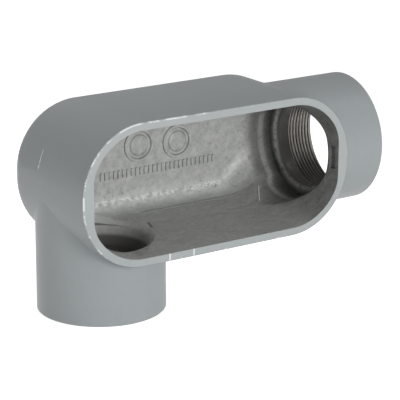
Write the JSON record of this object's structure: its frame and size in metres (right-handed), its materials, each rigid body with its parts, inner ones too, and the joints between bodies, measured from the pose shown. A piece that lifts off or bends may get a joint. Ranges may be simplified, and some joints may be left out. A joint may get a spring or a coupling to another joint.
{
  "type": "conduit body",
  "caption": "Open cast conduit body: a round-ended trough with a wide cover opening, a threaded hub out of one end and a threaded hub out of its long side.",
  "frame": {"origin": "centre of the side hub's end face", "axes": "+X out of the end hub, -Y out of the cover opening, +Z from the side hub's face into the body"},
  "size_m": [0.201, 0.079, 0.1115],
  "materials": {
    "grey_paint": "satin blue-grey paint over a cast surface"
  },
  "bodies": {
    "root": {"conduit_body": "grey_paint"}
  },
  "joints": []
}
